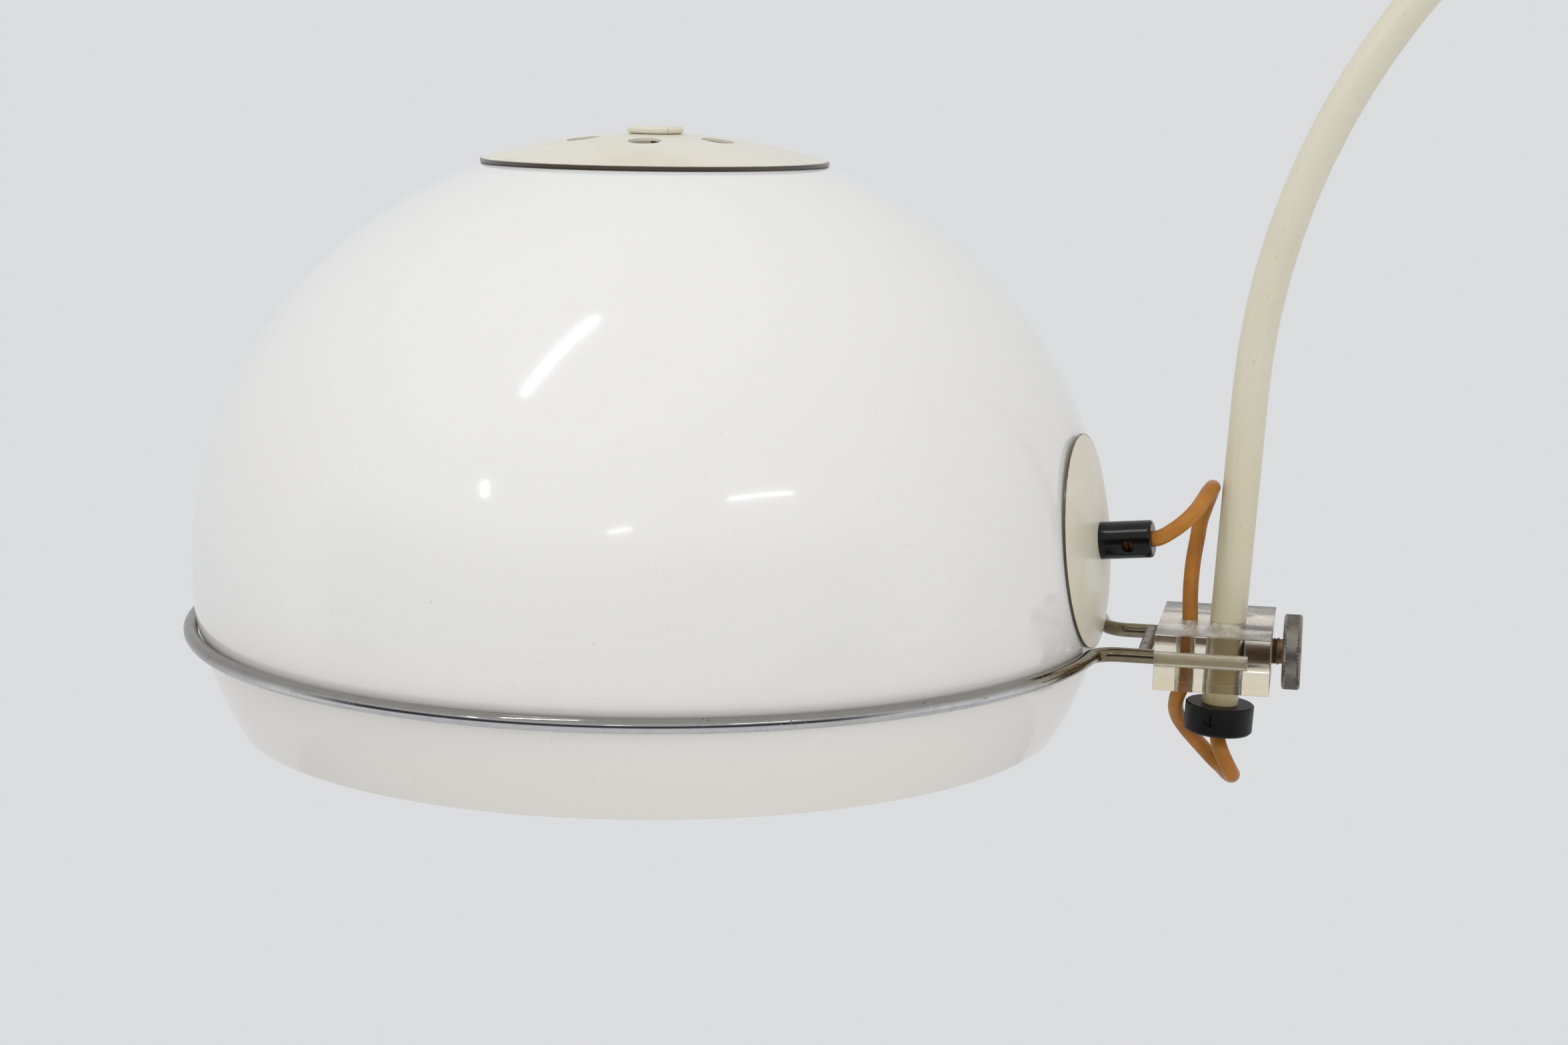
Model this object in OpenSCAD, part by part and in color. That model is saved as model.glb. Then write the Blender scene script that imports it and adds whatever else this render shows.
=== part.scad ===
// Arc floor lamp: weighted round base, telescopic mast, steel arc, and a dome shade in a wire ring.
// X runs from the shade to the mast, Z is up, and the floor under the middle of the base is the origin.

/* [Overall] */
// Height of the lamp to the top of the arc, pushed right down
lamp_h = 1815; // [1500:5:2200]
// Radius of the arc, to the middle of its tube
arc_r = 310; // [240:5:420]
// Lean of the arc's free end away from upright, in degrees
end_lean = 3; // [0:0.5:6]
// Straight length of the arc tube at its free end
end_straight = 150; // [140:1:220]

/* [Tubes] */
// Outside diameter of the arc tube
arc_d = 16; // [12:0.5:20]
// Wall of the arc tube
arc_wall = 1.25; // [1:0.05:1.8]
// Wall of the lower mast tube
mast_wall = 1.5; // [1:0.05:1.5]
// Height of the top of the lower mast tube over the floor
mast_top = 900; // [700:5:1100]
// Length of arc tube inside the mast tube
arc_insert = 260; // [220:5:320]

/* [Shade] */
// Widest outside diameter of the dome
shade_d = 420; // [330:5:510]
// Wall of the dome
shade_wall = 3.5; // [2.5:0.1:5]
// Height of the dome's widest line over the ring
widest_z = 28; // [20:1:40]
// Height of the full upper curve over the widest line
dome_top_h = 195; // [165:1:235]
// Depth of the full lower curve under the widest line
dome_low_h = 168; // [140:1:210]
// Drop of the open rim under the ring
rim_drop = 44; // [30:1:60]

/* [Vent cap] */
// Diameter of the vent cap
cap_d = 158; // [140:1:175]
// Rise of the vent cap from its edge to its middle
cap_rise = 12; // [8:0.5:20]
// Sheet thickness of the vent cap and the side disc
sheet = 1.2; // [0.8:0.1:1.6]
// Number of vent holes
vent_count = 6; // [4:1:8]
// Diameter of a vent hole
vent_d = 15; // [8:0.5:18]
// Radius of the circle of vent holes
vent_r = 35; // [30:1:45]
// Turn of the first vent hole, in degrees
vent_turn = 37; // [0:1:60]
// Diameter of the finial on top
finial_d = 25.5; // [18:0.5:32]
// Thickness of the finial
finial_h = 3; // [2:0.5:6]

/* [Side disc and cord gland] */
// Diameter of the side disc
disc_d = 95; // [80:1:110]
// Rise of the side disc from its edge to its middle
disc_rise = 7; // [5.5:0.1:12]
// Height of the side disc's middle over the ring
disc_z = 49.5; // [44:0.5:56]
// Tilt of the side disc's axis, outer end up, in degrees
disc_tilt = 6; // [4:0.5:8]
// Sideways distance of the side disc from the middle of the arms
disc_side = 20.7; // [0:0.1:24]
// Diameter of the cord gland
gland_d = 16.6; // [14:0.2:20]
// Length of the cord gland
gland_h = 22.8; // [20:0.2:26]
// Diameter of the threaded nipple that the gland and the lamp holder screw on to
nipple_d = 10; // [9.5:0.1:10.5]

/* [Ring and grip] */
// Wire diameter of the ring and its arms
wire_d = 6.5; // [5:0.1:8]
// Distance between the two arms, middle to middle
arm_gap = 52.8; // [40:0.2:60]
// Bend radius where the ring turns into its arms
arm_bend = 12; // [8:0.5:14]
// Free length from the ring's wire to the block
arm_out = 24.7; // [22:0.1:40]
// Length of each arm inside the block
arm_in = 39; // [20:0.5:44]
// Length of the clear block along the arms
block_l = 50; // [48:0.5:70]
// Width of the clear block across the arms
block_w = 75; // [72:0.5:90]
// Height of the clear block
block_h = 25; // [20:0.5:40]
// Distance from the block's ring face to the tube bore
bore_x = 29.2; // [26:0.1:31]
// Distance from the tube's side to the middle of the cord hole
cord_hole_gap = 8.2; // [7.5:0.1:10]

/* [Thumb screws and collars] */
// Thread diameter of the head's thumb screw
screw_d = 12; // [8:0.5:14]
// Diameter of its knurled head
knob_d = 33.5; // [24:0.5:40]
// Thickness of its knurled head
knob_t = 8; // [5:0.5:12]
// Thread diameter of the mast's thumb screw
mast_screw_d = 8; // [6:0.5:10]
// Diameter of the mast screw's head
mast_knob_d = 24; // [18:0.5:30]
// Diameter of the black collars
collar_d = 30.5; // [28:0.5:36]
// Height of the collar on the arc's free end
collar_h = 13; // [10:0.5:18]
// Height of the collar on the mast
mast_collar_h = 28; // [24:1:40]
// Diameter of the grub screws
grub_d = 5.8; // [4:0.2:6]

/* [Base] */
// Diameter of the base over its cover
base_d = 340; // [300:5:400]
// Thickness of the iron weight
weight_h = 26; // [20:1:36]
// Thickness of the felt under the base
felt_h = 3; // [2:0.5:5]
// Height of the base cover's crown over the weight
crown_h = 16; // [10:1:24]
// Height of the socket boss over the weight
boss_h = 64; // [50:1:90]
// Diameter of the socket boss
boss_d = 34; // [32:0.5:44]
// Direction in which the mains lead leaves the base, in degrees
lead_turn = 150; // [150:1:150]

/* [Cord] */
// Diameter of the flex
flex_d = 7; // [6:0.5:7]

/* [Hidden] */
$fn = 96;

// Tubes that slide in each other
bush_wall = 0.45;

// Clearances
run_fit = 0.05;    // radial, for a shaft that turns or slides in its bore
free_fit = 0.3;    // between pieces of different bodies that only pass each other
hole_fit = 0.2;    // radial, round a screw or a flex
mast_d = arc_d + 2 * (run_fit + bush_wall + mast_wall);
tie_inset = 0.3;
tie_gap = 0.02;
dome_steps = 48;

// Arc: it rises from the mast on the Z axis and comes down leaning by end_lean
arc_z = lamp_h - arc_r - arc_d / 2;
arc_end = [-arc_r * (1 + cos(end_lean)), 0, arc_z + arc_r * sin(end_lean)];
end_dir = [-sin(end_lean), 0, -cos(end_lean)];
collar_over = 3;                 // the collar reaches past the tube's end by this
collar_gap = 12.5;               // free tube between the block and the collar
ring_to_end = block_h / 2 + collar_gap + collar_h - collar_over;
grip = arc_end + (end_straight - ring_to_end) * end_dir;   // tube axis where the ring's plane cuts it

// Dome: two half ellipses that meet at the widest line, which lies widest_z over the ring
shade_r = shade_d / 2;
seat_r = shade_r * sqrt(1 - pow(widest_z / dome_low_h, 2));
seat_slope = atan(pow(shade_r / dome_low_h, 2) * widest_z / seat_r);
ring_r = seat_r + (wire_d / 2 + free_fit) / cos(seat_slope);
block_x = ring_r + arm_out;
cord_hole_x = bore_x - arc_d / 2 - cord_hole_gap;
head_at = grip - [block_x + bore_x, 0, 0];                  // middle of the ring
rim_angle = -asin((rim_drop + widest_z) / dome_low_h);
vent_hole_r = cap_d / 2 - 9;                                // the dome's open top under the cap
cap_lip = 1.6;
cap_edge_z = dome_z(cap_d / 2 - sheet) + run_fit + cap_lip;
cap_top_z = cap_edge_z + cap_rise;
bridge_t = 2;
bridge_half = cap_d / 2 - 1;
bridge_top_z = dome_in_z(bridge_half) - 0.4;
stud_d = 4;
stud_drop = 8;

// Side disc's own frame: z = 0 on the dome's outside, pointing out
disc_x = dome_r(disc_z);
disc_turn = asin(disc_side / disc_x);
disc_rim = -4.9;
disc_lip = 0.9;
disc_apex = disc_rim + disc_rise;
gland_end = disc_apex + gland_h;
gland_screw_at = disc_apex + 0.56 * gland_h;
gland_hole_d = 5.4;
gland_screw_turn = 14;           // downwards from the side
gland_screw_sunk = 2.6;
nipple_reach = 9;                // of nipple inside the gland
washer_d = 30;
washer_t = 1.5;
washer_at = -shade_wall - 1.2;
nut_t = 4;
nut_af = 16;
holder_d = 40;
holder_h = 52;
holder_top = washer_at - washer_t - nut_t;
shell_d = 27;
bulb_d = 60;
bulb_cap_h = 24;
holder_mouth = holder_top - holder_h;
bulb_mid = holder_mouth - 50;

// Base stack
weight_r = base_d / 2 - 4.5;
weight_top = felt_h + weight_h;
flange_h = 6;
flange_d = 72;
boss_top = weight_top + flange_h + boss_h;
socket_floor = weight_top + 7;
mast_foot = socket_floor + free_fit;
lead_z = 12;
lead_bend = 14;
lead_gland_d = 12;
lead_gland_end = base_d / 2 + 31;
cover_low = 4;
bolt_ring_r = 26;
bolt_turn = lead_turn + 60;
bolt_d = 5;

// Foot switch, coil and plug, on the floor behind the lamp
switch_at = [-395, 150];
switch_d = 62;
switch_h = 20;
switch_cord_z = 7;
nozzle_reach = 8;
button_d = 22;
button_travel = 3;
coil_at = [-550, 100];
coil_mean_r = 39;
coil_turns = 3;
coil_lift = 1.2;
tie_w = 12;
tie_t = 1.2;
tie_turn = -60;
plug_at = [-685, 130];
plug_z = 7;
pin_gap = 19;
pin_d = 4.8;
pin_h = 19;

// Flex at the head: from the gland's mouth over to the cord hole, on below the block, and up into the tube.
// The first two lists start from the cord hole in the block's top and underside, the last from the tube's end
over_route = [
    [-12.9, -23.7, 40.5], [-8.9, -24.2, 43], [-3.4, -23.7, 47.3], [1.6, -20.5, 52.3], [4.6, -15.5, 56.5],
    [6.6, -9, 59.5], [7.6, -2, 60], [7.1, 5, 58.5], [6.1, 9.5, 55], [4.1, 13, 49], [2.1, 14.5, 42],
    [1.1, 13, 34.5], [0.1, 9.5, 26.5], [-0.4, 5.5, 18.5], [-0.4, 2, 10], [0, 0, 1.5]];
under_route = [
    [0, 0, -0.5], [-3.2, 2, -8], [-5, 5.5, -14], [-4.9, 11, -21], [-1.9, 16.5, -28], [2.1, 19.5, -33.5],
    [7.1, 20.5, -39], [12.1, 18.5, -43.5], [16.1, 15, -46]];
end_route = [
    [5.2, 8.5, -25], [7.2, 1.5, -23.5], [6.7, -3, -21], [4.7, -5.5, -16.5], [2.2, -5, -11.5],
    [0.4, -2.2, -7.2], [-0.2, 0, -3.5], [0, 0, -0.4]];
// Mains lead, from its gland to the foot switch, on to the coil, and from the coil to the plug
switch_route = [
    [-174, 100.5, 12], [-188, 108.5, 11.4], [-205, 118, 9], [-226, 129, 5.6], [-248, 138, 3.6],
    [-272, 145, 3.5], [-297, 149, 3.5], [-320, 150, 4.2], [-340, 150, 6.4], [-356, 150, 7]];
coil_route = [
    [-434, 150, 7], [-450, 150, 6.4], [-470, 150, 4.6], [-492, 150, 3.9], [-515, 149.8, 4.4],
    [-535, 149.6, 4.7], [-550, 149.5, 4.7]];
plug_route = [
    [-550, 149.5, 11.7], [-566, 149, 11.5], [-584, 147.5, 9.6], [-604, 144, 6.2], [-624, 139, 4.2],
    [-644, 134, 4.2], [-664, 131, 5.8], [-685, 130, 7]];

// In the ring's frame: the gland's mouth, the cord hole and the end of the arc tube
function from_disc(z) = let (out = disc_x + z * cos(disc_tilt))
    [out * cos(disc_turn), -out * sin(disc_turn), disc_z + z * sin(disc_tilt)];
cord_hole = [block_x + cord_hole_x, 0, 0];
tube_end = [block_x + bore_x - ring_to_end * sin(end_lean), 0, -ring_to_end * cos(end_lean)];
head_route = concat(
    [from_disc(gland_end), from_disc(gland_end + 1.2)],
    [for (p = over_route) cord_hole + [0, 0, block_h / 2] + p],
    [cord_hole],
    [for (p = under_route) cord_hole - [0, 0, block_h / 2] + p],
    [for (p = end_route) tube_end + p]);

function dome_r(z) = shade_r * sqrt(1 - pow((z - widest_z) / (z > widest_z ? dome_top_h : dome_low_h), 2));
function dome_z(r) = widest_z + dome_top_h * sqrt(1 - pow(r / shade_r, 2));
function dome_in_z(r) = widest_z + (dome_top_h - shade_wall) * sqrt(1 - pow(r / (shade_r - shade_wall), 2));
function cup_r(r, rise) = (r * r + rise * rise) / (2 * rise);

// Sweep of a round cord through a list of points
function unit(v) = v / norm(v);
function tangent(p, i) = unit(p[min(i + 1, len(p) - 1)] - p[max(i - 1, 0)]);
function side(t, s) = unit(s - (s * t) * t);
function sides(p, i, s) = i == len(p) ? [] :
    let (n = side(tangent(p, i), s)) concat([n], sides(p, i + 1, n));
module sweep(p, d, n = 8) {
    start = abs(tangent(p, 0)[2]) > 0.9 ? [1, 0, 0] : [0, 0, 1];
    s = sides(p, 0, start);
    // A polygon of the same area as the round section
    r = d / 2 / sqrt(n / (2 * PI) * sin(360 / n));
    rings = [for (i = [0 : len(p) - 1]) let (b = cross(tangent(p, i), s[i]))
        for (k = [0 : n - 1]) p[i] + r * (cos(k * 360 / n + 180 / n) * s[i] + sin(k * 360 / n + 180 / n) * b)];
    walls = [for (i = [0 : len(p) - 2]) for (k = [0 : n - 1])
        [i * n + k, (i + 1) * n + k, (i + 1) * n + (k + 1) % n, i * n + (k + 1) % n]];
    first = [for (k = [0 : n - 1]) k];
    last = [for (k = [n - 1 : -1 : 0]) (len(p) - 1) * n + k];
    polyhedron(rings, concat([first, last], walls));
}

module at_head() translate(head_at) children();
module at_disc() at_head() rotate([0, 0, -disc_turn]) translate([disc_x, 0, disc_z])
    rotate([0, 90 - disc_tilt, 0]) children();
// The arc tube's free end: z = 0 in the ring's plane and pointing up the tube
module at_grip() translate(grip) rotate([0, end_lean, 0]) children();

// A round bar along the arc's whole line, from foot_z up the mast to past the free end
module arc_bar(d, foot_z, reach) {
    translate([0, 0, foot_z]) cylinder(d = d, h = arc_z - foot_z);
    translate([-arc_r, 0, arc_z]) rotate([90, 0, 0])
        rotate_extrude(angle = 180 - end_lean) translate([arc_r, 0]) circle(d = d);
    translate(arc_end) rotate([0, 180 + end_lean, 0]) cylinder(d = d, h = reach);
}
// A short band that ties two stretches of a bar together: z = 0 where they meet
module tie_band(outer, inner) difference() {
    translate([0, 0, -1]) cylinder(d = outer - tie_inset, h = 2);
    if (inner > 0) translate([0, 0, -2]) cylinder(d = inner + tie_inset, h = 4);
}

// A shallow spun cup: its edge at z = 0, crown up, with a lip that turns down
module spun_cup(d, rise, t, lip) {
    r = d / 2;
    ball = cup_r(r, rise);
    intersection() {
        translate([0, 0, rise - ball]) difference() {
            sphere(r = ball, $fn = 200);
            sphere(r = ball - t, $fn = 200);
        }
        translate([0, 0, -lip]) cylinder(r = r, h = rise + lip + 1);
    }
    translate([0, 0, -lip]) difference() {
        cylinder(r = r, h = lip);
        translate([0, 0, -1]) cylinder(r = r - t, h = lip + 2);
    }
}

// A thumb screw along +X: its tip at x = 0
module thumb_screw(d, tip, neck_d, neck_l, head_d, head_t) {
    rotate([0, 90, 0]) {
        cylinder(d = d - 2 * run_fit, h = tip);
        translate([0, 0, tip]) cylinder(d = neck_d, h = neck_l);
        translate([0, 0, tip + neck_l]) rotate_extrude() polygon([
            [0, 0], [head_d / 2 - 0.8, 0], [head_d / 2, 0.8], [head_d / 2, head_t - 0.8],
            [head_d / 2 - 0.8, head_t], [0, head_t]]);
    }
}

module slotted_grub(d, h) difference() {
    cylinder(d = d, h = h);
    translate([-d, -0.5, h - 1.2]) cube([2 * d, 1, 2]);
}

// Base
module base_felt() color("dimgray") cylinder(r = weight_r - 3, h = felt_h);

module lead_channel(d) {
    rotate([0, 0, lead_turn]) translate([0, -d / 2, 0]) cube([weight_r + 1, d, lead_z + d / 2 + felt_h / 2]);
}

module base_weight() color([0.22, 0.22, 0.23]) difference() {
    translate([0, 0, felt_h]) cylinder(r = weight_r, h = weight_h);
    translate([0, 0, felt_h - 1]) cylinder(d = 24, h = weight_h + 2);
    lead_channel(lead_gland_d);
    for (i = [0 : 2]) rotate([0, 0, i * 120 + bolt_turn]) translate([bolt_ring_r, 0, 0]) {
        translate([0, 0, felt_h - 1]) cylinder(d = bolt_d + 2 * hole_fit, h = weight_h + 2);
        translate([0, 0, felt_h - 1]) cylinder(d = 10.6, h = 6.2);
    }
}

module cover_outline(inset) {
    r = base_d / 2 - inset;
    low = inset > 0 ? cover_low - 1 : cover_low;
    round_r = 7 - inset;
    knee = weight_top + 2.4 - inset;
    top = weight_top + crown_h - inset;
    polygon(concat(
        [[0, low], [r, low]],
        [for (a = [0 : 15 : 75]) [r - round_r + round_r * cos(a), knee - round_r + round_r * sin(a)]],
        [for (i = [0 : 16]) let (u = 1 - i / 16) [(r - round_r) * u, knee + (top - knee) * (1 - u * u)]]));
}

module base_cover() color([0.86, 0.84, 0.76]) difference() {
    rotate_extrude() cover_outline(0);
    rotate_extrude() cover_outline(sheet);
    translate([0, 0, weight_top]) cylinder(d = boss_d + 2 * hole_fit, h = crown_h + 10);
    rotate([0, 0, lead_turn]) translate([weight_r - 10, 0, lead_z]) rotate([0, 90, 0])
        cylinder(d = lead_gland_d + 2 * hole_fit, h = 30);
}

module mast_socket() color([0.80, 0.80, 0.80]) difference() {
    translate([0, 0, weight_top]) union() {
        cylinder(d = flange_d, h = flange_h);
        cylinder(d = boss_d, h = flange_h + boss_h);
    }
    translate([0, 0, socket_floor]) cylinder(r = mast_d / 2 + run_fit, h = boss_top);
    translate([0, 0, weight_top - 1]) cylinder(d = flex_d + 3, h = boss_top);
    for (i = [0 : 2]) rotate([0, 0, i * 120 + bolt_turn]) translate([bolt_ring_r, 0, weight_top - 1])
        cylinder(d = bolt_d, h = flange_h);
    translate([0, 0, boss_top - 16]) rotate([0, 90, 0]) cylinder(d = grub_d, h = boss_d);
}

module socket_bolts() color("silver")
    for (i = [0 : 2]) rotate([0, 0, i * 120 + bolt_turn]) translate([bolt_ring_r, 0, felt_h + 0.4]) {
        cylinder(d = bolt_d, h = weight_h + flange_h - 1.8);
        difference() {
            cylinder(d = 10, h = 4.6);
            translate([0, 0, -1]) cylinder(d = 5, h = 3, $fn = 6);
        }
    }

module socket_grub() color("dimgray") translate([mast_d / 2 + free_fit, 0, boss_top - 16])
    rotate([0, 90, 0]) slotted_grub(grub_d, boss_d / 2 - mast_d / 2 - free_fit - 0.6);

module base_flex() color([0.66, 0.40, 0.16]) {
    translate([0, 0, lead_z + lead_bend]) cylinder(d = flex_d, h = socket_floor - lead_z - lead_bend + 2);
    rotate([0, 0, lead_turn]) {
        translate([lead_bend, 0, lead_z + lead_bend]) rotate([90, 0, 0])
            rotate([0, 0, 180]) rotate_extrude(angle = 90) translate([lead_bend, 0]) circle(d = flex_d);
        translate([lead_bend, 0, lead_z]) rotate([0, 90, 0])
            cylinder(d = flex_d, h = lead_gland_end - lead_bend);
        translate([lead_bend, 0, lead_z]) rotate([0, 90, 0]) tie_band(flex_d, 0);
    }
    translate([0, 0, lead_z + lead_bend]) tie_band(flex_d, 0);
}

module lead_gland() color([0.06, 0.06, 0.06]) rotate([0, 0, lead_turn]) translate([0, 0, lead_z])
    rotate([0, 90, 0]) difference() {
        union() {
            translate([0, 0, weight_r - 4]) cylinder(d = lead_gland_d - 2 * hole_fit, h = 9);
            translate([0, 0, base_d / 2]) cylinder(d = lead_gland_d + 3, h = 3);
            translate([0, 0, base_d / 2 + 3]) cylinder(d1 = lead_gland_d, d2 = flex_d + 2, h = 28);
        }
        translate([0, 0, weight_r - 5]) cylinder(d = flex_d, h = 50);
    }

// Mains lead with its foot switch, coil and plug
module lead_to_switch() color([0.66, 0.40, 0.16]) sweep(switch_route, flex_d);

module foot_switch() color([0.08, 0.08, 0.08]) translate([switch_at[0], switch_at[1], 0]) difference() {
    union() {
        cylinder(d = switch_d, h = 7);
        translate([0, 0, 7]) cylinder(d1 = switch_d, d2 = switch_d - 18, h = switch_h - 7);
        translate([-switch_d / 2 - nozzle_reach, 0, switch_cord_z]) rotate([0, 90, 0])
            cylinder(d = flex_d + 5, h = switch_d + 2 * nozzle_reach);
    }
    translate([0, 0, 4]) cylinder(d = button_d + 2 * free_fit, h = switch_h);
    translate([0, 0, -5]) cylinder(d = 3 * switch_d, h = 5);
}

module switch_button() color([0.55, 0.10, 0.08]) translate([switch_at[0], switch_at[1], 0])
    translate([0, 0, 4 + button_travel + free_fit]) rotate_extrude() polygon([
        [0, 0], [button_d / 2, 0], [button_d / 2, switch_h - 5], [button_d / 2 - 1, switch_h - 4],
        [0, switch_h - 3.2]]);

module lead_to_coil() color([0.66, 0.40, 0.16]) sweep(coil_route, flex_d);

coil_w = flex_d * (coil_turns + 1);
module coil_body() translate([0, 0, coil_lift]) rotate_extrude()
    translate([coil_mean_r - coil_w / 2, 0]) square([coil_w, 2 * flex_d]);

module lead_coil() color([0.66, 0.40, 0.16]) translate([coil_at[0], coil_at[1], 0]) coil_body();

module lead_tie() color([0.05, 0.05, 0.05]) translate([coil_at[0], coil_at[1], 0])
    rotate([0, 0, tie_turn]) difference() {
        translate([coil_mean_r - coil_w / 2 - tie_t, -tie_w / 2, 0])
            cube([coil_w + 2 * tie_t, tie_w, 2 * flex_d + 2 * tie_t]);
        coil_body();
    }

module lead_to_plug() color([0.66, 0.40, 0.16]) sweep(plug_route, flex_d);

module plug_body() color([0.06, 0.06, 0.06]) translate([plug_at[0], plug_at[1], plug_z]) rotate([0, -90, 0]) {
    cylinder(d1 = flex_d + 2, d2 = 12, h = 24);
    hull() {
        translate([0, 0, 22]) cylinder(d = 13, h = 1, $fn = 32);
        for (s = [-1, 1]) translate([0, s * 11, 34]) cylinder(d = 2 * plug_z, h = 22, $fn = 32);
    }
}

module plug_pins() color("silver") translate([plug_at[0] - 56, plug_at[1], plug_z])
    for (s = [-1, 1]) translate([0, s * pin_gap / 2, 0]) rotate([0, -90, 0]) {
        cylinder(d = pin_d, h = pin_h - 1);
        translate([0, 0, pin_h - 1]) cylinder(d1 = pin_d, d2 = pin_d - 1.6, h = 1);
    }

// Mast
module mast_tube() color([0.84, 0.82, 0.74]) difference() {
    translate([0, 0, mast_foot]) cylinder(d = mast_d, h = mast_top - mast_foot);
    translate([0, 0, mast_foot - 1]) cylinder(d = mast_d - 2 * mast_wall, h = mast_top);
}

bush_h = 30;
arc_foot = mast_top - arc_insert;
module mast_bush() color("white") translate([0, 0, mast_top - bush_h]) difference() {
    cylinder(d = mast_d - 2 * mast_wall, h = bush_h);
    translate([0, 0, -1]) cylinder(r = arc_d / 2 + run_fit, h = bush_h + 2);
}

// Under the arc tube's foot, so that the arc stops there on its way down
stop_h = 8;
module stop_ring() color("white") translate([0, 0, arc_foot - free_fit - stop_h]) difference() {
    cylinder(d = mast_d - 2 * mast_wall, h = stop_h);
    translate([0, 0, -1]) cylinder(d = flex_d + 3, h = stop_h + 2);
}

screw_level = 6;
module mast_collar() color([0.08, 0.08, 0.08]) translate([0, 0, mast_top]) difference() {
    translate([0, 0, -mast_collar_h / 2]) cylinder(d = collar_d, h = mast_collar_h);
    translate([0, 0, -mast_collar_h]) cylinder(d = mast_d, h = mast_collar_h);
    translate([0, 0, -1]) cylinder(r = arc_d / 2 + free_fit, h = mast_collar_h);
    translate([0, 0, screw_level]) rotate([0, 90, 0]) cylinder(d = mast_screw_d, h = collar_d);
    translate([0, 0, -mast_collar_h / 4]) rotate([90, 0, 0]) cylinder(d = grub_d, h = collar_d);
}

module mast_grub() color("dimgray") translate([0, -mast_d / 2, mast_top - mast_collar_h / 4])
    rotate([90, 0, 0]) slotted_grub(grub_d, (collar_d - mast_d) / 2 - 0.5);

module height_screw() color("silver")
    translate([arc_d / 2 + 2 * free_fit, 0, mast_top + screw_level])
        thumb_screw(mast_screw_d, collar_d / 2 - arc_d / 2 + 1.5, mast_screw_d + 1, 3, mast_knob_d, 6);

// Arc
slide_h = 20;
module arc_tube() color([0.81, 0.79, 0.71]) {
    difference() {
        arc_bar(arc_d, arc_foot, end_straight);
        arc_bar(arc_d - 2 * arc_wall, arc_foot - 1, end_straight + 1);
    }
    translate(arc_end) rotate([0, end_lean, 0]) tie_band(arc_d, arc_d - 2 * arc_wall);
}

module slide_ring() color("white") translate([0, 0, arc_foot]) difference() {
    cylinder(r = mast_d / 2 - mast_wall - run_fit, h = slide_h);
    translate([0, 0, -1]) cylinder(d = arc_d, h = slide_h + 2);
}

collar_low = -ring_to_end - collar_over;
collar_grub_turn = -102;
module end_collar() color([0.10, 0.10, 0.10]) at_grip() translate([0, 0, collar_low]) difference() {
    rotate_extrude() polygon([
        [0, 0], [collar_d / 2 - 1, 0], [collar_d / 2, 1], [collar_d / 2, collar_h - 0.5],
        [collar_d / 2 - 0.5, collar_h], [0, collar_h]]);
    translate([0, 0, collar_over]) cylinder(d = arc_d, h = collar_h);
    translate([0, 0, -1]) cylinder(r = flex_d / 2 + 1, h = collar_h);
    rotate([0, 0, collar_grub_turn]) translate([0, 0, collar_h / 2 + 1]) rotate([0, 90, 0])
        cylinder(d = grub_d, h = collar_d);
}

module collar_grub() color("dimgray") at_grip() translate([0, 0, collar_low + collar_h / 2 + 1])
    rotate([0, 0, collar_grub_turn]) translate([arc_d / 2, 0, 0]) rotate([0, 90, 0])
        slotted_grub(grub_d, (collar_d - arc_d) / 2 - 0.7);

module arc_flex() color([0.66, 0.40, 0.16]) {
    arc_bar(flex_d, socket_floor + 5, end_straight);
    translate(arc_end) rotate([0, end_lean, 0]) tie_band(flex_d, 0);
}

// Grip on the arc's free end
module clamp_block() color([0.90, 0.88, 0.78, 0.5]) difference() {
    at_head() translate([block_x, -block_w / 2, -block_h / 2]) cube([block_l, block_w, block_h]);
    at_grip() translate([0, 0, -block_h]) cylinder(r = arc_d / 2 + run_fit, h = 2 * block_h);
    at_head() {
        translate([block_x + cord_hole_x, 0, -block_h]) cylinder(r = flex_d / 2 + 0.5, h = 2 * block_h);
        for (s = [-1, 1]) translate([block_x - 1, s * arm_gap / 2, 0]) rotate([0, 90, 0])
            cylinder(d = wire_d, h = arm_in + 2);
        translate([block_x + bore_x, 0, 0]) rotate([0, 90, 0]) cylinder(d = screw_d, h = block_l);
    }
}

arm_side = arm_gap / 2;
bend_x = sqrt(pow(ring_r + arm_bend, 2) - pow(arm_side + arm_bend, 2));
bend_turn = asin((arm_side + arm_bend) / (ring_r + arm_bend));
module ring_wire() color("silver") at_head() {
    open_turn = bend_turn + asin(tie_gap / ring_r);
    rotate([0, 0, open_turn]) rotate_extrude(angle = 360 - 2 * open_turn, $fn = 180)
        translate([ring_r, 0]) circle(d = wire_d, $fn = 48);
    for (s = [0, 1]) mirror([0, s, 0]) {
        translate([bend_x, arm_side, 0]) {
            translate([0, arm_bend, 0]) rotate([0, 0, -90]) rotate_extrude(angle = bend_turn - 90)
                translate([arm_bend, 0]) circle(d = wire_d, $fn = 48);
            rotate([0, 90, 0]) cylinder(d = wire_d, h = block_x + arm_in - bend_x, $fn = 48);
        }
        rotate([0, 0, bend_turn]) translate([ring_r, 0, 0]) rotate([90, 0, 0]) tie_band(wire_d, 0);
    }
}

module crossbar() color([0.45, 0.42, 0.34]) at_head() difference() {
    translate([block_x - 5.4, arm_side, 0]) rotate([90, 0, 0]) cylinder(d = wire_d - 0.5, h = arm_gap);
    for (s = [-1, 1]) translate([block_x - 20, s * arm_side, 0]) rotate([0, 90, 0])
        cylinder(d = wire_d, h = 30, $fn = 48);
}

module head_flex() color([0.66, 0.40, 0.16]) at_head() sweep(head_route, flex_d);

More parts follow.
